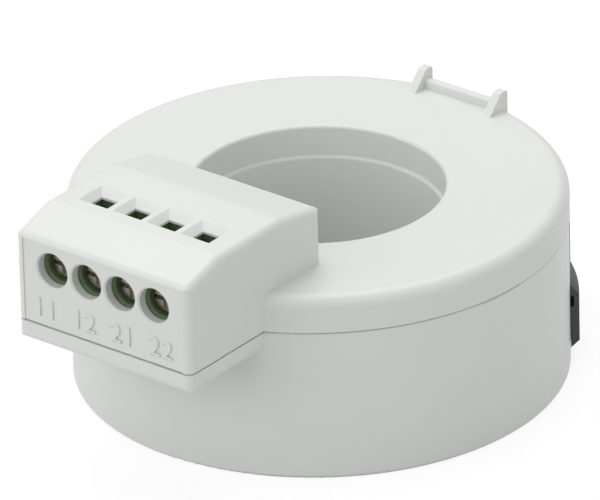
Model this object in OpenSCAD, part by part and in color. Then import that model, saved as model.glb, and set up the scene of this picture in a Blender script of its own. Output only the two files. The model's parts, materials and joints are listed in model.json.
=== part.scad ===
// Current transformer with two windings, a four-pole terminal housing and a panel foot.
// Millimetres. The origin is on the bore's axis at the underside. +Z runs up the bore,
// the terminals face -Y and the foot is on the +Y side.

/* [Ring] */
// Outer diameter of the ring's base
ring_od = 60; // [58:0.5:66]
// Diameter of the bore that the conductors pass through
bore_d = 30; // [27:0.5:31]
// Height of the ring with its cover on
ring_h = 24; // [23:0.5:28]
// Height of the cover's outer wall below its top face
skirt_h = 4.6; // [4.4:0.1:5.4]
// How far the cover stands proud of the base's outer wall
cover_proud = 0.12; // [0:0.02:0.3]
// How far the cover's bore is set back from the base's bore
bore_step = 0.35; // [0.1:0.05:0.6]

/* [Housing walls] */
// Thickness of the outer wall
wall_t = 1.8; // [1.7:0.1:2.2]
// Thickness of the tube round the bore
bore_wall_t = 1.6; // [1.5:0.1:2]
// Thickness of the base's floor
floor_t = 1.8; // [1.4:0.1:2.4]
// Thickness of the cover's top plate
lid_t = 1.6; // [1.2:0.1:2]
// Radius of the cover's outer top edge
rim_r = 1.5; // [0.6:0.1:1.6]
// Radius of the small edges of the housing
soft_r = 0.4; // [0.2:0.05:0.5]
// Height of the base's tongue inside the cover
tongue_h = 1.2; // [0.8:0.1:1.6]
// Open line between base and cover, as seen from outside
seam_gap = 0.2; // [0.1:0.02:0.3]
// Distance from the top face down to where the two bore walls meet
bore_seam_drop = 3.9; // [3:0.1:5]

/* [Terminal housing] */
// Width of the terminal housing
hood_w = 26; // [23.4:0.1:29]
// Length that it stands out in front of the ring
hood_out = 11; // [10.4:0.1:12.4]
// Height of its flat top above the ring's top face
hood_rise = 8.6; // [8:0.1:9.4]
// Drop of its front top edge below the flat top
front_drop = 1.8; // [1.4:0.1:2.4]
// Drop of its rear top edge below the flat top
rear_drop = 1.4; // [1:0.1:2.4]
// Length of the front slope
front_slope = 5.9; // [5.2:0.1:7]
// Length of the flat top
flat_top = 11.8; // [10:0.1:12.6]
// Distance from the cover's bore to the rear wall
rear_clear = 0.45; // [0.4:0.05:0.9]
// Thickness of the terminal housing's walls
hood_t = 1.4; // [1.2:0.1:1.6]
// Thickness of its roof
roof_t = 1.1; // [1:0.05:1.4]
// Depth of the tray under the seam
tray_h = 2.6; // [2.4:0.1:4]
// Thickness of the tray's floor
tray_t = 1.6; // [1.2:0.1:1.8]
// Radius of the terminal housing's edges
hood_r = 1; // [0.5:0.1:1.1]
// Depth of the flat panel let into the front face
panel_depth = 0.15; // [0.05:0.01:0.25]
// Margin round the front panel
panel_margin = 1.1; // [1.05:0.05:1.4]

/* [Poles] */
// Space beside the end terminals, which sets the standard pitch of 5.08 between them
end_space = 2.84; // [2.4:0.02:3.2]
// Height of the screws above the ring's top face
screw_rise = 3; // [2.6:0.1:3.4]
// Diameter of the screwdriver holes
driver_hole_d = 4.4; // [4:0.1:4.6]
// Width and depth of the wire entries
entry_w = 2.5; // [2:0.1:2.7]
// Rim width of the funnel round each wire entry
funnel_w = 4.3; // [3.6:0.1:4.5]
// Rim depth of the funnel, front to back
funnel_l = 4.3; // [3.6:0.1:4.6]
// Depth of the funnel
funnel_depth = 0.8; // [0.5:0.05:1]

/* [Terminal body] */
// Space between the terminal body and the side walls
body_gap = 0.8; // [0.3:0.1:1]
// Length from its front to the circuit board
body_l = 11.6; // [11.4:0.1:12.4]
// Height of the terminal body
body_h = 10; // [9.6:0.1:10.4]
// Depth of the pockets for the screw heads
pocket_depth = 2.2; // [2:0.1:2.6]
// Thickness of the shoulder under the screw heads
shoulder_t = 0.5; // [0.4:0.05:0.7]

/* [Clamp screws and cages] */
// Thread diameter of the clamp screws
screw_d = 2.5; // [2:0.1:2.6]
// Thread pitch of the clamp screws
thread_pitch = 0.45; // [0.4:0.05:0.5]
// Diameter of the screw heads
head_d = 3.6; // [3.2:0.1:3.7]
// Height of the screw heads
head_h = 1.4; // [1:0.1:1.6]
// Travel of the cages
cage_travel = 2.4; // [1.8:0.1:2.4]
// Height of the cages, along the wire
cage_h = 4; // [3.4:0.1:4.4]
// Thickness of a cage's front and rear walls
cage_t = 0.9; // [0.7:0.1:1]
// Thickness of a cage's side walls
cage_side_t = 0.6; // [0.5:0.05:0.65]
// Space for the wire in an open cage
wire_space = 2.6; // [2.2:0.1:2.7]
// Thickness of the contact bars
bar_t = 0.8; // [0.6:0.05:1]
// Side of the square solder pins
pin_w = 0.8; // [0.6:0.05:0.9]

/* [Circuit board] */
// Thickness of the circuit board
board_t = 1.6; // [1:0.1:1.8]
// Height of the circuit board
board_h = 9.4; // [8.8:0.1:9.6]

/* [Core and windings] */
// Thickness of the foam ring under the core
lower_cushion_t = 1.4; // [1:0.1:2]
// Thickness of the foam ring over the core
upper_cushion_t = 2.5; // [2.4:0.1:3.2]
// Free space on each side of the windings
winding_gap = 0.4; // [0.2:0.05:0.8]
// Thickness of the wound layer on the case
layer_t = 0.8; // [0.6:0.05:1]
// Wire diameter of the measuring winding
fine_wire_d = 0.5; // [0.4:0.05:0.6]
// Wire diameter of the test winding
test_wire_d = 0.9; // [0.7:0.05:1]
// Angle round the ring that the test winding takes
test_arc = 40; // [36:1:48]
// Wall of the core's plastic case
case_t = 0.8; // [0.6:0.05:1]
// Free space between the core and its case
core_gap = 0.2; // [0.1:0.05:0.4]
// Diameter of the leads, over their sleeves
lead_d = 0.8; // [0.6:0.05:0.9]

/* [Retaining loop] */
// Clear width between the two ears
ear_gap = 10.3; // [8:0.1:12]
// Thickness of an ear
ear_t = 1.1; // [0.8:0.1:1.6]
// Height of an ear above the top face
ear_h = 2.4; // [1.8:0.1:3]
// Length of an ear's foot along the top face
ear_l = 3.6; // [3:0.1:4.4]
// Width and height of the bar between the ears
loop_bar = 1.1; // [0.8:0.1:1.3]

/* [Panel foot] */
// Height of the foot where it meets the ring
foot_h = 8.4; // [8:0.1:9.4]
// Height of the foot's lower edge above the underside
foot_z = 1.7; // [0.5:0.1:2.4]
// Thickness of the foot's arms
arm_t = 1.05; // [0.9:0.05:1.4]
// Half of the angle that the two arms reach round the ring
arm_reach = 54; // [46:1:58]
// Width of the foot's block
block_w = 26; // [25.4:0.1:27]
// Depth of the block behind the ring's rearmost point
block_out = 3.3; // [3:0.1:5]
// How far the block is lower than the arms, above and below
block_inset = 0.3; // [0.2:0.05:0.5]
// Distance between the two panel screws
foot_screw_pitch = 18.4; // [18:0.1:19]
// Diameter of the panel screws' holes
foot_hole_d = 3.4; // [3:0.1:3.8]
// Diameter of the recesses for the panel screws' heads
foot_recess_d = 6; // [5.4:0.1:6.2]
// Plastic left under the panel screws' heads
foot_recess_floor = 2.2; // [1.6:0.1:2.4]
// Width of the dovetail at its neck
dovetail_neck = 6; // [5:0.1:7]
// Width of the dovetail at its outer face
dovetail_w = 8; // [7.4:0.1:9]
// How far the dovetail stands out behind the ring
dovetail_out = 1.9; // [1.5:0.1:2]

/* [Hidden] */
POLES = 4;
$fn = 96;

// Clearances
fit = 0.05;            // running and sliding fits
ease = 0.1;            // parts dropped into a pocket or slot
over = 1;              // overshoot of cutting shapes

// Colours
housing_colour = [0.88, 0.89, 0.87];
terminal_colour = [0.30, 0.42, 0.25];
foot_colour = [0.16, 0.16, 0.17];
foam_colour = [0.25, 0.25, 0.27];
case_colour = [0.80, 0.76, 0.66];
core_colour = [0.46, 0.46, 0.49];
enamel_colour = [0.65, 0.33, 0.14];
test_wire_colour = [0.75, 0.16, 0.12];
board_colour = [0.12, 0.36, 0.20];
screw_colour = [0.72, 0.71, 0.68];
cage_colour = [0.78, 0.76, 0.70];
bar_colour = [0.80, 0.52, 0.32];

// Ring
ring_r = ring_od / 2;
bore_r = bore_d / 2;
cover_r = ring_r + cover_proud;
cover_bore_r = bore_r + bore_step;
trough_ri = bore_r + bore_wall_t;
trough_ro = ring_r - wall_t;
seam_z = ring_h - skirt_h;
bore_seam_z = ring_h - bore_seam_drop;
ceiling_z = ring_h - lid_t;
tongue_t = (wall_t - cover_proud) / 2 - fit;
tongue_top = seam_z + tongue_h;

// Terminal housing, in the plane across it: y runs from the front to the bore
hood_front = -(ring_r + hood_out);
hood_rear = -(cover_bore_r + rear_clear);
hood_l = hood_rear - hood_front;
hood_top = ring_h + hood_rise;
roof_front_y = hood_front + front_slope;
roof_rear_y = roof_front_y + flat_top;
front_pitch = atan2(front_drop, front_slope);
rear_pitch = -atan2(rear_drop, hood_rear - roof_rear_y);
tray_z = seam_z - tray_h;
cavity_w = hood_w - 2 * hood_t;
pole_pitch = (hood_w - 2 * end_space) / POLES;
cavity_front = hood_front + hood_t;
cavity_rear = hood_rear - hood_t;
cavity_floor = tray_z + tray_t;

// Terminal body
body_w = cavity_w - 2 * body_gap;
body_front = cavity_front + ease * 2;
body_rear = body_front + body_l;
body_top = hood_top - roof_t - ease * 2;
body_bottom = body_top - body_h;
body_front_top = roof_z(body_front) - roof_t / cos(front_pitch) - ease * 2;
screw_z = ring_h + screw_rise;
pocket_floor = body_front + pocket_depth;
chamber_front = pocket_floor + shoulder_t;
cage_front = chamber_front + ease * 3 + cage_travel;
bar_front = cage_front + cage_t + ease;
bar_rear = bar_front + bar_t;
cage_rear_wall = bar_rear + wire_space;
cage_rear = cage_rear_wall + cage_t;
cage_w = pole_pitch - 1;
chamber_w = cage_w + 2 * ease;
bar_w = cage_w - 2 * cage_side_t - 3 * ease;
leg_z = body_bottom + 0.8;
bar_top = screw_z + cage_h / 2 + ease;
channel_front = bar_rear;

// Circuit board
board_front = body_rear;
board_rear = board_front + board_t;
board_z = body_bottom + ease * 2;
board_w = body_w - ease * 2;
pin_z = leg_z + bar_t / 2;
pin_hole_d = pin_w * sqrt(2) + ease;
lead_hole_d = lead_d + ease * 2;
lead_z = board_z + board_h * 0.6;

// Windings: each section is a rectangle [inner radius, bottom, outer radius, top]
coil_box = [trough_ri + winding_gap, floor_t + lower_cushion_t,
            trough_ro - winding_gap, ceiling_z - upper_cushion_t];
layer_box = inset(coil_box, fine_wire_d / 2);
case_box = inset(layer_box, layer_t);
core_box = inset(case_box, case_t + core_gap);
coil_mid_r = (coil_box[0] + coil_box[2]) / 2;
bank_step = 8;
bank_gap = 0.8;
test_turn_step = 7;
lead_edge = 1.8;
fine_lead_x = body_w / 2 - lead_edge;
test_lead_x = fine_lead_x / 2;

// Foot
foot_r = ring_r + ease / 2;
arm_r = foot_r + arm_t;
block_rear = ring_r + block_out;
dovetail_floor_z = foot_z + block_inset + 1.2;
dovetail_rear = ring_r + dovetail_out;

// ---------------------------------------------------------------- helpers

function unit(v) = v / norm(v);

function inset(box, by) = [box[0] + by, box[1] + by, box[2] - by, box[3] - by];

function pole_x(k) = (k - (POLES + 1) / 2) * pole_pitch;

// Height of the terminal housing's roof at y
function roof_z(y) =
    y < roof_front_y ? hood_top - (roof_front_y - y) * tan(front_pitch)
    : y > roof_rear_y ? hood_top + (y - roof_rear_y) * tan(rear_pitch)
    : hood_top;

// What a fillet of radius r takes off a square corner at the origin
module corner_waste(r) {
    difference() {
        translate([-r, -r])
            square(2 * r);
        translate([r, r])
            circle(r);
    }
}

// Rectangle from [0, 0] to [w, h] with its own radius at each corner, anticlockwise from [0, 0]
module soft_rect(w, h, radii) {
    corners = [[0, 0], [w, 0], [w, h], [0, h]];
    difference() {
        square([w, h]);
        for (i = [0 : 3])
            if (radii[i] > 0)
                translate(corners[i])
                    rotate(90 * i)
                        corner_waste(radii[i]);
    }
}

// The same rectangle placed by its low and high corners
module soft_box(box, radii) {
    translate([box[0], box[1]])
        soft_rect(box[2] - box[0], box[3] - box[1], radii);
}

// Convex outline, listed anticlockwise, with every corner rounded to its own radius
module soft_outline(points, radii) {
    n = len(points);
    corners = [for (i = [0 : n - 1])
        let (p = points[i],
             a = unit(points[(i + n - 1) % n] - p),
             b = unit(points[(i + 1) % n] - p),
             half = acos(a * b) / 2)
        [p, a, b, half]];
    polygon([for (i = [0 : n - 1])
        each radii[i] == 0 ? [corners[i][0]]
        : [corners[i][0] + corners[i][1] * radii[i] / tan(corners[i][3]),
           corners[i][0] + corners[i][2] * radii[i] / tan(corners[i][3])]]);
    for (i = [0 : n - 1])
        if (radii[i] > 0)
            translate(corners[i][0]
                      + unit(corners[i][1] + corners[i][2]) * radii[i] / sin(corners[i][3]))
                circle(radii[i]);
}

// Box between two corners
module block(low, high) {
    translate(low)
        cube(high - low);
}

// Extrudes an outline drawn in the y-z plane by w along X, centred
module across(w) {
    rotate([90, 0, 90])
        linear_extrude(w, center = true)
            children();
}

// Round bar along Y from y0 to y1
module y_rod(d, x, z, y0, y1) {
    translate([x, y0, z])
        rotate([-90, 0, 0])
            cylinder(d = d, h = y1 - y0);
}

// Ring section turned through the whole circle
module ring_of() {
    rotate_extrude()
        children();
}

// ---------------------------------------------------------------- housing

// Terminal housing's outline from above
module hood_plan() {
    translate([-hood_w / 2, hood_front])
        soft_rect(hood_w, hood_l, [hood_r, hood_r, hood_r, hood_r]);
}

// Long bar under one plane of the roof, which rounds that plane's side edges
module roof_bar(y, pitch) {
    reach = 3 * hood_l;
    translate([0, y, roof_z(y)])
        rotate([90 + pitch, 0, 0])
            linear_extrude(2 * reach, center = true)
                translate([-hood_w / 2, -reach])
                    soft_rect(hood_w, reach, [0, 0, hood_r, hood_r]);
}

// Outside of the cover's terminal housing
module hood_shell() {
    low = seam_z + seam_gap / 2;
    intersection() {
        across(hood_w + over)
            soft_outline(
                [[hood_front, low], [hood_rear, low],
                 [hood_rear, roof_z(hood_rear)], [roof_rear_y, hood_top],
                 [roof_front_y, hood_top], [hood_front, roof_z(hood_front)]],
                [0, 0, hood_r, 4 * hood_r, 3 * hood_r, hood_r]);
        linear_extrude(hood_top + over)
            hood_plan();
        roof_bar(hood_front, front_pitch);
        roof_bar(roof_front_y, 0);
        roof_bar(roof_rear_y, rear_pitch);
    }
}

// Inside of the terminal housing, open downwards
module hood_cavity() {
    low = seam_z - over;
    slope_t = roof_t / cos(front_pitch);
    across(cavity_w)
        polygon([[cavity_front, low], [cavity_rear, low],
                 [cavity_rear, roof_z(cavity_rear) - slope_t],
                 [roof_rear_y, hood_top - roof_t],
                 [roof_front_y, hood_top - roof_t],
                 [cavity_front, roof_z(cavity_front) - slope_t]]);
}

// Hole for the screwdriver, with a softened rim
module driver_hole(k) {
    y_rod(driver_hole_d, pole_x(k), screw_z, hood_front - over, cavity_front + over);
    translate([pole_x(k), hood_front + panel_depth, screw_z])
        rotate([-90, 0, 0])
            cylinder(d1 = driver_hole_d + 0.4, d2 = driver_hole_d, h = 0.2);
}

// Wire entry: a square hole at the front of a funnel that slopes in from the back and sides
module wire_entry(k) {
    hole_front = channel_front;
    rim_front = hole_front - 0.7;
    rise = 0.3;
    translate([pole_x(k) - entry_w / 2, hole_front, hood_top - roof_t - over])
        cube([entry_w, entry_w, roof_t + 2 * over]);
    translate([pole_x(k), 0, 0])
        intersection() {
            across(funnel_w + 2 * over)
                polygon([[hole_front, hood_top - funnel_depth],
                         [hole_front + entry_w, hood_top - funnel_depth],
                         [rim_front + funnel_l, hood_top],
                         [rim_front + funnel_l, hood_top + rise],
                         [rim_front, hood_top + rise],
                         [rim_front, hood_top]]);
            rotate([90, 0, 0])
                linear_extrude(-2 * hood_front, center = true)
                    polygon([[-entry_w / 2, hood_top - funnel_depth],
                             [entry_w / 2, hood_top - funnel_depth],
                             [funnel_w / 2, hood_top],
                             [funnel_w / 2, hood_top + rise],
                             [-funnel_w / 2, hood_top + rise],
                             [-funnel_w / 2, hood_top]]);
        }
}

// Flat panel let into the front face
module front_panel() {
    block([-hood_w / 2 + panel_margin, hood_front - over, seam_z],
          [hood_w / 2 - panel_margin, hood_front + panel_depth,
           roof_z(hood_front) - hood_r / 2]);
}

// Two ears with a bar between them, at the rear of the top face
module retaining_loop() {
    rear = cover_r - rim_r / 2;
    root = ring_h - rim_r;
    for (side = [-1, 1])
        translate([side * (ear_gap + ear_t) / 2, 0, 0])
            across(ear_t)
                soft_outline(
                    [[rear - ear_l, root], [rear, root], [rear, ring_h + ear_h],
                     [rear - ear_l * 0.36, ring_h + ear_h], [rear - ear_l, ring_h]],
                    [0, 0, 0.35, 0.6, 0]);
    across(ear_gap + ear_t)
        soft_outline(
            [[rear - 0.5 - loop_bar, root], [rear - 0.5, root],
             [rear - 0.5, ring_h + loop_bar], [rear - 0.5 - loop_bar, ring_h + loop_bar]],
            [0, 0, 0.2, 0.2]);
}

module cover_housing() {
    groove_r = trough_ro + tongue_t + fit;
    color(housing_colour)
    difference() {
        union() {
            ring_of()
                soft_box([cover_bore_r, seam_z + seam_gap / 2, cover_r, ring_h],
                         [0, 0, rim_r, soft_r]);
            hood_shell();
            retaining_loop();
        }
        // room for the core, for the base's tongue and for the tube round the bore
        ring_of() {
            soft_box([trough_ri, 0, trough_ro, ceiling_z], [0, 0, 0, 0]);
            soft_box([trough_ri, 0, groove_r, tongue_top], [0, 0, 0, 0]);
            soft_box([0, 0, trough_ri + over / 2, bore_seam_z], [0, 0, 0, 0]);
        }
        hood_cavity();
        front_panel();
        for (k = [1 : POLES]) {
            driver_hole(k);
            wire_entry(k);
        }
    }
}

// Tray that closes the terminal housing from below
module tray() {
    top = seam_z - seam_gap / 2;
    depth = top - tray_z;
    difference() {
        union() {
            intersection() {
                translate([0, 0, tray_z])
                    linear_extrude(depth)
                        translate([-hood_w / 2, hood_front])
                            soft_rect(hood_w, -hood_front - trough_ri, [hood_r, hood_r, 0, 0]);
                across(hood_w + over)
                    translate([hood_front, tray_z])
                        soft_rect(-hood_front, depth, [hood_r, 0, 0, 0]);
                rotate([90, 0, 0])
                    linear_extrude(-2 * hood_front, center = true)
                        translate([-hood_w / 2, tray_z])
                            soft_rect(hood_w, depth, [hood_r, hood_r, 0, 0]);
            }
            // lip that the terminal housing drops over
            lip = [cavity_w / 2 - fit, cavity_front + fit];
            block([-lip[0], lip[1], cavity_floor], [lip[0], -trough_ri, tongue_top]);
        }
        block([-cavity_w / 2 + tongue_t, cavity_front + tongue_t, cavity_floor],
              [cavity_w / 2 - tongue_t, 0, tongue_top + over]);
    }
    // ribs that carry the terminal body
    for (k = [0 : POLES])
        block([pole_x(k + 0.5) - 0.4, body_front + 1, cavity_floor - tray_t / 2],
              [pole_x(k + 0.5) + 0.4, -ring_r + wall_t / 2, body_bottom]);
}

// Dovetail that slides down into the foot
module dovetail(grow) {
    polygon([[-dovetail_neck / 2 - grow, ring_r - wall_t / 2],
             [dovetail_neck / 2 + grow, ring_r - wall_t / 2],
             [dovetail_neck / 2 + grow, ring_r],
             [dovetail_w / 2 + grow, dovetail_rear + grow],
             [-dovetail_w / 2 - grow, dovetail_rear + grow],
             [-dovetail_neck / 2 - grow, ring_r]]);
}

module base_housing() {
    shoulder_z = seam_z - seam_gap / 2;
    color(housing_colour)
    difference() {
        union() {
            ring_of()
                difference() {
                    soft_box([bore_r, 0, ring_r, shoulder_z], [0, soft_r, soft_r / 2, 0]);
                    soft_box([trough_ri, floor_t, trough_ro, shoulder_z + over],
                             [0, 0, 0, 0]);
                }
            // tube round the bore, up to the cover
            ring_of()
                soft_box([bore_r, floor_t, trough_ri, bore_seam_z], [0, 0, 0, soft_r]);
            // tongue inside the cover's outer wall
            ring_of()
                soft_box([trough_ro, floor_t, trough_ro + tongue_t, tongue_top], [0, 0, 0, 0]);
            translate([0, 0, dovetail_floor_z])
                linear_extrude(foot_z + foot_h - dovetail_floor_z)
                    dovetail(0);
            // the tray stops at the ring's outer wall
            difference() {
                tray();
                translate([0, 0, floor_t])
                    cylinder(r = trough_ro, h = ring_h + over);
            }
        }
        // the tongue is left out where the terminal body passes
        difference() {
            block([-cavity_w / 2 + tongue_t, -ring_r, shoulder_z],
                  [cavity_w / 2 - tongue_t, 0, tongue_top + over]);
            cylinder(r = trough_ri, h = ring_h);
            for (k = [0 : POLES])
                block([pole_x(k + 0.5) - 0.4, -ring_r - over, 0],
                      [pole_x(k + 0.5) + 0.4, -trough_ro + 0.05, ring_h]);
        }
    }
}

// ---------------------------------------------------------------- foot

module mounting_foot() {
    mid_z = foot_z + foot_h / 2;
    block_z = [foot_z + block_inset, foot_z + foot_h - block_inset];
    color(foot_colour)
    difference() {
        union() {
            rotate([0, 0, 90 - arm_reach])
                rotate_extrude(angle = 2 * arm_reach)
                    polygon([[foot_r - over, foot_z - over], [arm_r, foot_z + arm_t],
                             [arm_r, foot_z + foot_h - arm_t],
                             [foot_r - over, foot_z + foot_h + over]]);
            intersection() {
                translate([0, 0, foot_z])
                    linear_extrude(foot_h)
                        translate([-block_w / 2, 0])
                            soft_rect(block_w, block_rear, [0, 0, 1, 1]);
                across(block_w + over)
                    polygon([[0, block_z[0]], [block_rear - arm_t / 2, block_z[0]],
                             [block_rear, block_z[0] + arm_t / 2],
                             [block_rear, block_z[1] - arm_t / 2],
                             [block_rear - arm_t / 2, block_z[1]], [0, block_z[1]]]);
            }
        }
        // seat round the ring
        translate([0, 0, -over])
            cylinder(r = foot_r, h = ring_h);
        // slot for the dovetail, closed at its lower end
        translate([0, 0, dovetail_floor_z])
            linear_extrude(foot_h + over)
                dovetail(fit);
        for (side = [-1, 1]) {
            y_rod(foot_hole_d, side * foot_screw_pitch / 2, mid_z, 0, block_rear + over);
            y_rod(foot_recess_d, side * foot_screw_pitch / 2, mid_z, 0,
                  block_rear - foot_recess_floor);
            // grip recess near each arm's end
            rotate([0, 0, side * (arm_reach - 1)])
                translate([-over, foot_r - over, foot_z + foot_h * 0.66])
                    cube([2 * over, over + arm_t * 0.4, foot_h * 0.17]);
        }
    }
}

// ---------------------------------------------------------------- core and windings

// Lower half of the case: a trough that the core lies in
module core_case_lower() {
    box = case_box;
    color(case_colour)
    ring_of()
        difference() {
            soft_box([box[0], box[1], box[2], box[3] - case_t], [soft_r, soft_r, 0, 0]);
            soft_box([box[0] + case_t, box[1] + case_t, box[2] - case_t, box[3]], [0, 0, 0, 0]);
        }
}

// Upper half of the case: a lid with two lips inside the trough
module core_case_upper() {
    box = case_box;
    lip_h = core_gap + case_t / 2;
    color(case_colour)
    ring_of() {
        soft_box([box[0], box[3] - case_t, box[2], box[3]], [0, 0, soft_r, soft_r]);
        for (r = [box[0] + case_t + fit, box[2] - 1.5 * case_t - fit])
            translate([r, box[3] - case_t - core_gap])
                square([case_t / 2, core_gap + fit]);
    }
}

// Core wound from tape, with its corners broken
module toroid_core() {
    color(core_colour)
    ring_of()
        soft_box([core_box[0], core_box[1] - core_gap, core_box[2], core_box[3]],
                 [core_gap, core_gap, core_gap, core_gap]);
}

// One closed turn round the core's section, its middle in the plane at angle a
module turn(a, wire_d, box, depth) {
    rotate([0, 0, a])
        rotate([90, 0, 0])
            linear_extrude(wire_d, center = true)
                difference() {
                    soft_box(box, [1, 1, 1, 1]);
                    soft_box(inset(box, depth), [0, 0, 0, 0]);
                }
}

// Turns wound side by side on the case, from angle a0 over arc degrees and t deep
module bank(a0, arc, t) {
    rotate([0, 0, a0])
        rotate_extrude(angle = arc)
            difference() {
                soft_box(inset(case_box, -t), [0.8, 0.8, 0.8, 0.8]);
                soft_box(case_box, [0, 0, 0, 0]);
            }
}

module measuring_winding() {
    first = -90 + test_arc / 2;
    banks = floor((360 - test_arc) / bank_step);
    bank_arc = bank_step - bank_gap;
    color(enamel_colour)
    for (i = [0 : banks - 1])
        bank(first + i * bank_step, bank_arc, layer_t + fine_wire_d / 2);
}

module test_winding() {
    arc = test_arc - 6;
    turns = floor(arc / test_turn_step);
    color(test_wire_colour) {
        bank(-90 - arc / 2, arc, layer_t / 2);
        for (i = [0 : turns])
            turn(-90 + (i - turns / 2) * test_turn_step, test_wire_d,
                 inset(case_box, -test_wire_d), test_wire_d * 0.8);
    }
}

// Lead from the windings' top up and forward into the circuit board
module lead(x) {
    bend = 2 * lead_d;
    y = -sqrt(coil_mid_r * coil_mid_r - x * x);
    rise = lead_z - bend - coil_box[3];
    run = y - bend - (board_front + board_t / 4);
    translate([x, y - bend, lead_z - bend])
        rotate([90, 0, 90]) {
            rotate_extrude(angle = 90)
                translate([bend, 0])
                    circle(d = lead_d);
            translate([bend, 0, 0])
                rotate([90, 0, 0])
                    cylinder(d = lead_d, h = rise);
            translate([0, bend, 0])
                rotate([0, -90, 0])
                    cylinder(d = lead_d, h = run);
        }
}

module lead_pair(x) {
    for (side = [-1, 1])
        lead(side * x);
}

module measuring_leads() {
    color(enamel_colour)
    lead_pair(fine_lead_x);
}

module test_leads() {
    color(test_wire_colour)
    lead_pair(test_lead_x);
}

// Foam ring between two heights, from the bore tube to the outer wall
module cushion(z0, z1) {
    ring_of()
        soft_box([trough_ri + ease, z0, trough_ro - ease, z1], [0, 0, 0, 0]);
}

module lower_core_cushion() {
    color(foam_colour)
    cushion(floor_t, coil_box[1]);
}

module upper_core_cushion() {
    color(foam_colour)
    difference() {
        cushion(coil_box[3], ceiling_z);
        block([-cavity_w / 2, hood_front, 0], [cavity_w / 2, cavity_rear, ring_h]);
    }
}

// ---------------------------------------------------------------- terminals

module circuit_board() {
    color(board_colour)
    difference() {
        block([-board_w / 2, board_front, board_z],
              [board_w / 2, board_rear, board_z + board_h]);
        for (k = [1 : POLES])
            y_rod(pin_hole_d, pole_x(k), pin_z, board_front - over, board_rear + over);
        for (x = [-fine_lead_x, -test_lead_x, test_lead_x, fine_lead_x])
            y_rod(lead_hole_d, x, lead_z, board_front - over, board_rear + over);
    }
}

// Everything that is cut out of the terminal body for one pole
module pole_cut(k) {
    x = pole_x(k);
    rim = 0.35;
    cage_z = [screw_z - cage_h / 2, screw_z + cage_h / 2];
    y_rod(head_d + 0.4, x, screw_z, body_front - over, pocket_floor);
    translate([x, body_front - ease, screw_z])
        rotate([-90, 0, 0])
            cylinder(d1 = head_d + 0.4 + 2 * (rim + ease), d2 = head_d + 0.4, h = rim + ease);
    y_rod(screw_d + 2 * fit, x, screw_z, pocket_floor - over, chamber_front + over);
    block([x - chamber_w / 2, chamber_front, cage_z[0] - 2 * ease],
          [x + chamber_w / 2, body_rear + over, cage_z[1] + 2 * ease]);
    block([x - bar_w / 2 - ease, bar_front - ease, leg_z - ease],
          [x + bar_w / 2 + ease, body_rear + over, cage_z[0]]);
    block([x - entry_w / 2, channel_front, cage_z[1]],
          [x + entry_w / 2, channel_front + entry_w, body_top + over]);
}

module terminal_body() {
    color(terminal_colour)
    difference() {
        across(body_w)
            polygon([[body_front, body_bottom], [body_rear, body_bottom],
                     [body_rear, body_top], [roof_front_y, body_top],
                     [body_front, body_front_top]]);
        for (k = [1 : POLES])
            pole_cut(k);
    }
}

// Captive screw: its head turns in the pocket and its thread pulls the cage. The end is
// chamfered by the height of the thread
module clamp_screw(k) {
    slot_w = 0.6;
    slot_depth = 0.5 * head_h;
    thread_h = 0.61 * thread_pitch;
    tip = pocket_floor - bar_front + ease;
    color(screw_colour)
    translate([pole_x(k), pocket_floor, screw_z])
        rotate([90, 0, 0])
            difference() {
                rotate_extrude()
                    union() {
                        soft_rect(head_d / 2, head_h, [0, 0, 0.3, 0]);
                        polygon([[0, over / 2], [0, tip], [screw_d / 2 - thread_h, tip],
                                 [screw_d / 2, tip + thread_h], [screw_d / 2, over / 2]]);
                    }
                // a slot from side to side, and a shorter one across it
                translate([-head_d / 2, -slot_w / 2, head_h - slot_depth])
                    cube([head_d, slot_w, head_h]);
                translate([-slot_w / 2, 0.3 - head_d / 2, head_h - slot_depth])
                    cube([slot_w, head_d - 0.6, head_h]);
            }
}

// Closed cage round the contact bar and the wire
module wire_cage(k) {
    x = pole_x(k);
    z = [screw_z - cage_h / 2, screw_z + cage_h / 2];
    inner = cage_w / 2 - cage_side_t;
    color(cage_colour)
    difference() {
        block([x - cage_w / 2, cage_front, z[0]], [x + cage_w / 2, cage_rear, z[1]]);
        block([x - inner, cage_front + cage_t, z[0] - over],
              [x + inner, cage_rear_wall, z[1] + over]);
        y_rod(screw_d + 2 * fit, x, screw_z, cage_front - over, cage_front + cage_t + over);
    }
}

// Flat bar that the wire is clamped to, with its foot and solder pin
module contact_bar(k) {
    x = pole_x(k);
    foot_end = body_rear - bar_t;
    color(bar_colour)
    union() {
        block([x - bar_w / 2, bar_front, leg_z], [x + bar_w / 2, bar_rear, bar_top]);
        block([x - bar_w / 2, bar_front, leg_z], [x + bar_w / 2, foot_end, leg_z + bar_t]);
        block([x - pin_w / 2, foot_end - over, pin_z - pin_w / 2],
              [x + pin_w / 2, board_rear + pin_w, pin_z + pin_w / 2]);
    }
}

base_housing();
cover_housing();
mounting_foot();
core_case_lower();
core_case_upper();
toroid_core();
measuring_winding();
test_winding();
measuring_leads();
test_leads();
lower_core_cushion();
upper_core_cushion();
circuit_board();
terminal_body();
for (k = [1 : POLES]) {
    clamp_screw(k);
    wire_cage(k);
    contact_bar(k);
}
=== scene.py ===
"""Looks for the ring current transformer: finishes, raised numbers, studio and camera."""

import json
import math

import bmesh
import bpy
from mathutils import Matrix, Vector


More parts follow.
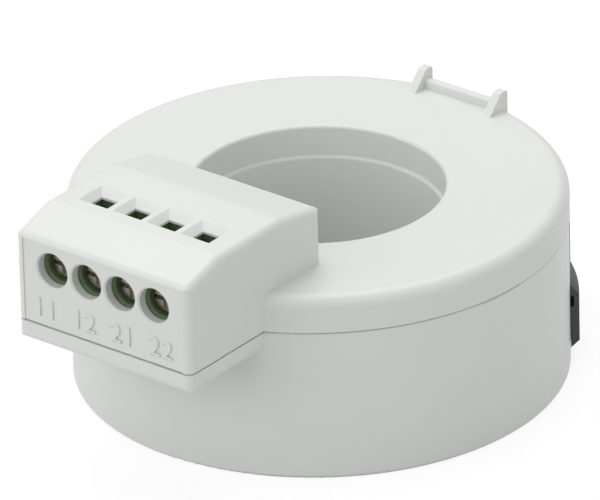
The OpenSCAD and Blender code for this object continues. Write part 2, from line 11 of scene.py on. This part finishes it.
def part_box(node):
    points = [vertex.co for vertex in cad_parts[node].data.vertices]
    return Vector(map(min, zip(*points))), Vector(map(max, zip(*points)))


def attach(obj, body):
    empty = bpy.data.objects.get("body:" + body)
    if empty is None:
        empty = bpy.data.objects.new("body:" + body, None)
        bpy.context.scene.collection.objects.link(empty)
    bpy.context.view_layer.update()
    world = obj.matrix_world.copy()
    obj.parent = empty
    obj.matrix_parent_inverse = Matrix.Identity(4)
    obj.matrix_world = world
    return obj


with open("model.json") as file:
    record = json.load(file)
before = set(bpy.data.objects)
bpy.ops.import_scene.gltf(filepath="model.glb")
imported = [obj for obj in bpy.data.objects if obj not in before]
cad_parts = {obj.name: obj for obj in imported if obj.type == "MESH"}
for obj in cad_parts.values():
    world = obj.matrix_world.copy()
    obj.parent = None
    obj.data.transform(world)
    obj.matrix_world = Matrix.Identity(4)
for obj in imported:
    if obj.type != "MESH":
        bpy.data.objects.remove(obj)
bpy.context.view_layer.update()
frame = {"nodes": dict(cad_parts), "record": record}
MM = 0.001
POLES = (1, 2, 3, 4)

# ------------------------------------------------------------------ camera and studio

# angles in degrees, the azimuth to the right of the terminals' side
CAMERA_AZIMUTH = 38.71
CAMERA_ELEVATION = 27.17
CAMERA_ROLL = 1.45
# right and up, from the bore's foot to the view's centre
CAMERA_AIM = (-2.32 * MM, 13.42 * MM)
CAMERA_DISTANCE = 1369.0 * MM
CAMERA_LENS = 681.3
CAMERA_SENSOR = 36.0
CAMERA_CLIP_START = 0.01
CAMERA_CLIP_END = 10.0

# each lamp: degrees to the right of the camera, degrees up, distance, width, height, watts
LAMPS = {
    "top softbox": (-162, 74, 0.65, 0.5, 0.5, 1.72),
    "left softbox": (-75, 25, 0.6, 0.35, 0.35, 0.52),
    "front left softbox": (-45, 25, 0.6, 0.3, 0.3, 0.48),
    "front softbox": (-10, 38, 0.7, 0.35, 0.25, 0.25),
    "right softbox": (58, 20, 0.6, 0.2, 0.35, 0.34),
    "rear softbox": (180, 45, 0.65, 0.4, 0.3, 0.42),
}
LAMP_TARGET = (0.0, 0.0, 0.012)

WORLD_STRENGTH = 0.52  # of the even light on the object
WORLD_SEEN_STRENGTH = 1.0  # white, as the camera sees it
FLOOR_HALF_WIDTH = 3.0
FLOOR_DROP = 0.02 * MM
FLOOR_GREY = 0.62  # what the floor sends back to the object
FLOOR_SEEN_GLOW = 0.82
FLOOR_SEEN_GREY = 0.22  # over the glow, the part that takes the shadow
WHITE = (1.0, 1.0, 1.0, 1.0)


def direction(azimuth, elevation):
    """Unit direction out from the bore, by degrees round its axis and degrees up."""
    a = math.radians(azimuth)
    e = math.radians(elevation)
    return Vector((math.sin(a) * math.cos(e), -math.cos(a) * math.cos(e), math.sin(e)))


def make_camera():
    """Places the camera by its angles round the bore's axis."""
    a = math.radians(CAMERA_AZIMUTH)
    back = direction(CAMERA_AZIMUTH, CAMERA_ELEVATION)
    right = Vector((math.cos(a), math.sin(a), 0.0))
    up = back.cross(right)
    data = bpy.data.cameras.new("camera")
    data.sensor_width = CAMERA_SENSOR
    data.lens = CAMERA_LENS
    data.clip_start = CAMERA_CLIP_START
    data.clip_end = CAMERA_CLIP_END
    camera = bpy.data.objects.new("camera", data)
    bpy.context.scene.collection.objects.link(camera)
    turn = Matrix((right, up, back)).transposed()
    turn = turn @ Matrix.Rotation(math.radians(-CAMERA_ROLL), 3, "Z")
    place = right * CAMERA_AIM[0] + up * CAMERA_AIM[1] + back * CAMERA_DISTANCE
    camera.matrix_world = Matrix.Translation(place) @ turn.to_4x4()
    bpy.context.scene.camera = camera


def add_lamp(name, turn, rise, distance, width, height, watts):
    """Area lamp turned to the ring, placed by its angles from the camera's side."""
    side = direction(CAMERA_AZIMUTH + turn, rise)
    data = bpy.data.lights.new(name, "AREA")
    data.shape = "RECTANGLE"
    data.size = width
    data.size_y = height
    data.energy = watts
    lamp = bpy.data.objects.new(name, data)
    bpy.context.scene.collection.objects.link(lamp)
    lamp.location = Vector(LAMP_TARGET) + side * distance
    lamp.rotation_mode = "QUATERNION"
    lamp.rotation_quaternion = (-side).to_track_quat("-Z", "Y")


def flat_shader(tree, kind, colour, strength=None):
    """Shader of one colour, with a strength where it gives light."""
    node = tree.nodes.new(kind)
    node.inputs["Color"].default_value = colour
    if strength is not None:
        node.inputs["Strength"].default_value = strength
    return node


def show_to(tree, rays, plain, seen, out):
    """Sends the shader seen to two kinds of ray, and the shader plain to all others."""
    path = tree.nodes.new("ShaderNodeLightPath")
    either = tree.nodes.new("ShaderNodeMath")
    either.operation = "MAXIMUM"
    mix = tree.nodes.new("ShaderNodeMixShader")
    tree.links.new(path.outputs[rays[0]], either.inputs[0])
    tree.links.new(path.outputs[rays[1]], either.inputs[1])
    tree.links.new(either.outputs[0], mix.inputs["Fac"])
    tree.links.new(plain.outputs[0], mix.inputs[1])
    tree.links.new(seen.outputs[0], mix.inputs[2])
    tree.links.new(mix.outputs[0], out.inputs["Surface"])


def make_floor():
    """Pale floor that shows as white and keeps the object's shadow."""
    mesh = bpy.data.meshes.new("floor")
    bm = bmesh.new()
    bmesh.ops.create_grid(bm, x_segments=1, y_segments=1, size=FLOOR_HALF_WIDTH)
    bm.to_mesh(mesh)
    bm.free()
    floor = bpy.data.objects.new("floor", mesh)
    bpy.context.scene.collection.objects.link(floor)
    floor.location.z = -FLOOR_DROP
    finish = bpy.data.materials.new("floor")
    finish.use_nodes = True
    tree = finish.node_tree
    tree.nodes.clear()
    out = tree.nodes.new("ShaderNodeOutputMaterial")
    plain = flat_shader(tree, "ShaderNodeBsdfDiffuse", (*[FLOOR_GREY] * 3, 1.0))
    glow = flat_shader(tree, "ShaderNodeEmission", WHITE, FLOOR_SEEN_GLOW)
    shade = flat_shader(tree, "ShaderNodeBsdfDiffuse", (*[FLOOR_SEEN_GREY] * 3, 1.0))
    both = tree.nodes.new("ShaderNodeAddShader")
    tree.links.new(glow.outputs[0], both.inputs[0])
    tree.links.new(shade.outputs[0], both.inputs[1])
    show_to(tree, ("Is Camera Ray", "Is Glossy Ray"), plain, both, out)
    mesh.materials.append(finish)


def make_world():
    """White surroundings, seen as white and giving a soft even light."""
    world = bpy.data.worlds.new("studio")
    bpy.context.scene.world = world
    world.use_nodes = True
    tree = world.node_tree
    tree.nodes.clear()
    out = tree.nodes.new("ShaderNodeOutputWorld")
    soft = flat_shader(tree, "ShaderNodeBackground", WHITE, WORLD_STRENGTH)
    white = flat_shader(tree, "ShaderNodeBackground", WHITE, WORLD_SEEN_STRENGTH)
    show_to(tree, ("Is Camera Ray", "Is Transmission Ray"), soft, white, out)


make_camera()
make_world()
make_floor()
for lamp_name, lamp in LAMPS.items():
    add_lamp(lamp_name, *lamp)
bpy.context.scene.view_settings.view_transform = "Standard"

# ------------------------------------------------------------------ materials

# pattern scales, in features per metre
CLOUD_SCALE = 55.0
GLOSS_SCALE = 240.0
GRAIN_SCALE = 9000.0
TARNISH_SCALE = 400.0
SHINE_SCALE = 1500.0
SCRATCH_SCALE = 3000.0
SCRATCH_STRETCH = (1.0, 12.0, 1.0)
SCRATCH_DEPTH = 0.004 * MM
# the middle of the noise's values, stretched over the whole range that it drives
NOISE_LOW = 0.3
NOISE_HIGH = 0.7


def new_finish(name, colour, roughness, metallic=0.0):
    """Material with its Principled shader set and an Object-coordinate input ready."""
    finish = bpy.data.materials.new(name)
    finish.use_nodes = True
    tree = finish.node_tree
    shader = tree.nodes["Principled BSDF"]
    shader.inputs["Base Color"].default_value = (*colour, 1.0)
    shader.inputs["Roughness"].default_value = roughness
    shader.inputs["Metallic"].default_value = metallic
    coords = tree.nodes.new("ShaderNodeTexCoord")
    return finish, tree, shader, coords.outputs["Object"]


def noise(tree, coords, scale, detail, rough=0.5):
    """Noise whose scale is in features per metre."""
    node = tree.nodes.new("ShaderNodeTexNoise")
    node.inputs["Scale"].default_value = scale
    node.inputs["Detail"].default_value = detail
    node.inputs["Roughness"].default_value = rough
    tree.links.new(coords, node.inputs["Vector"])
    return node.outputs["Fac"]


def spread(tree, value, low, high):
    """Maps the middle of a noise to the range low to high."""
    node = tree.nodes.new("ShaderNodeMapRange")
    node.inputs["From Min"].default_value = NOISE_LOW
    node.inputs["From Max"].default_value = NOISE_HIGH
    node.inputs["To Min"].default_value = low
    node.inputs["To Max"].default_value = high
    tree.links.new(value, node.inputs["Value"])
    return node.outputs["Result"]


def tint(tree, value, dark, light):
    """Colour between dark and light."""
    node = tree.nodes.new("ShaderNodeMix")
    node.data_type = "RGBA"
    node.inputs["A"].default_value = (*dark, 1.0)
    node.inputs["B"].default_value = (*light, 1.0)
    tree.links.new(value, node.inputs["Factor"])
    return node.outputs["Result"]


def bump(tree, shader, height, depth):
    """Bump with its depth in metres."""
    node = tree.nodes.new("ShaderNodeBump")
    node.inputs["Strength"].default_value = 1.0
    node.inputs["Distance"].default_value = depth
    tree.links.new(height, node.inputs["Height"])
    tree.links.new(node.outputs["Normal"], shader.inputs["Normal"])


def scaled(colour, factor):
    """Colour made darker or lighter by a factor."""
    return tuple(min(1.0, c * factor) for c in colour)


def moulded(name, colour, roughness, grain=0.006, vary=0.015, grain_scale=GRAIN_SCALE):
    """Moulded plastic: fine spark-eroded grain, faint cloudiness and uneven gloss."""
    finish, tree, shader, coords = new_finish(name, colour, roughness)
    cloud = noise(tree, coords, CLOUD_SCALE, 3.0)
    tree.links.new(
        tint(tree, cloud, scaled(colour, 1 - vary), scaled(colour, 1 + vary)),
        shader.inputs["Base Color"],
    )
    gloss = noise(tree, coords, GLOSS_SCALE, 4.0)
    tree.links.new(
        spread(tree, gloss, roughness - 0.04, roughness + 0.05),
        shader.inputs["Roughness"],
    )
    bump(tree, shader, noise(tree, coords, grain_scale, 3.0, 0.6), grain * MM)
    return finish


def metal(name, colour, roughness):
    """Turned or stamped metal with fine marks and a slightly uneven shine."""
    finish, tree, shader, coords = new_finish(name, colour, roughness, 1.0)
    tarnish = noise(tree, coords, TARNISH_SCALE, 4.0)
    tree.links.new(
        tint(tree, tarnish, scaled(colour, 0.86), scaled(colour, 1.08)),
        shader.inputs["Base Color"],
    )
    shine = noise(tree, coords, SHINE_SCALE, 5.0)
    tree.links.new(
        spread(tree, shine, roughness - 0.08, roughness + 0.12),
        shader.inputs["Roughness"],
    )
    stretch = tree.nodes.new("ShaderNodeMapping")
    stretch.inputs["Scale"].default_value = SCRATCH_STRETCH
    tree.links.new(coords, stretch.inputs["Vector"])
    marks = noise(tree, stretch.outputs["Vector"], SCRATCH_SCALE, 3.0)
    bump(tree, shader, marks, SCRATCH_DEPTH)
    return finish


HOUSING_GREY = (0.715, 0.735, 0.71)
FINISHES = {
    "housing": moulded("housing", HOUSING_GREY, 0.40),
    "foot": moulded("foot", (0.045, 0.046, 0.048), 0.45, vary=0.06),
    "core_case": moulded("core_case", (0.58, 0.53, 0.42), 0.5, vary=0.03),
    "core": metal("core", (0.42, 0.42, 0.45), 0.35),
    "enamelled_wire": metal("enamelled_wire", (0.62, 0.24, 0.09), 0.25),
    "test_wire": moulded("test_wire", (0.42, 0.035, 0.025), 0.35),
    "foam": moulded("foam", (0.05, 0.05, 0.055), 0.9, grain=0.08, grain_scale=2500.0),
    "circuit_board": moulded("circuit_board", (0.02, 0.11, 0.045), 0.3, vary=0.08),
    "terminal_plastic": moulded("terminal_plastic", (0.085, 0.15, 0.06), 0.38, vary=0.04),
    "screw": metal("screw", (0.62, 0.56, 0.50), 0.3),
    "cage": metal("cage", (0.66, 0.63, 0.56), 0.35),
    "contact": metal("contact", (0.70, 0.48, 0.30), 0.32),
}

slots = {s["node"]: s["material_slot"] for s in frame["record"]["subparts"]}
for name, node in frame["nodes"].items():
    node.data.materials.clear()
    node.data.materials.append(FINISHES[slots[name]])

# ------------------------------------------------------------------ raised numbers

NUMBERS = ("11", "12", "21", "22")
NUMBER_HEIGHT = 2.4 * MM
NUMBER_RELIEF = 0.16 * MM
NUMBER_ROUNDING = 0.06 * MM
NUMBER_THINNING = 0.05 * MM  # taken off each side of a stroke before its rounding
NUMBER_SPACING = 1.1
NUMBER_DROP = 5.3 * MM  # from a screw's axis down to the middle of its number
NUMBER_PITCH = 5.8 * MM
MIDDLE_POLE = sum(POLES) / len(POLES)
PANEL_DEPTH = 0.15 * MM
CAPITAL_SHARE = 0.70  # a digit's height as a share of the font's size


def make_number(text, pole):
    """Plain raised number on the front face under a screw."""
    curve = bpy.data.curves.new(f"number_{pole}", "FONT")
    curve.body = text
    curve.size = NUMBER_HEIGHT / CAPITAL_SHARE
    curve.align_x = "CENTER"
    curve.align_y = "CENTER"
    curve.space_character = NUMBER_SPACING
    curve.extrude = NUMBER_RELIEF
    curve.bevel_depth = NUMBER_ROUNDING
    curve.bevel_resolution = 2
    curve.offset = -NUMBER_THINNING
    flat = bpy.data.objects.new("flat_text", curve)
    bpy.context.scene.collection.objects.link(flat)
    graph = bpy.context.evaluated_depsgraph_get()
    mesh = bpy.data.meshes.new_from_object(flat.evaluated_get(graph))
    bpy.data.objects.remove(flat)
    low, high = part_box(f"clamp_screw_{pole}")
    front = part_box("cover_housing")[0].y + PANEL_DEPTH
    across = (pole - MIDDLE_POLE) * NUMBER_PITCH
    height = (low.z + high.z) / 2 - NUMBER_DROP
    mesh.transform(Matrix.Rotation(math.radians(90), 4, "X"))
    mesh.transform(Matrix.Translation((across, front, height)))
    piece = bpy.data.objects.new(f"number_{pole}", mesh)
    bpy.context.scene.collection.objects.link(piece)
    piece.data.materials.append(FINISHES["housing"])
    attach(piece, "housing")


for pole, text in zip(POLES, NUMBERS):
    make_number(text, pole)
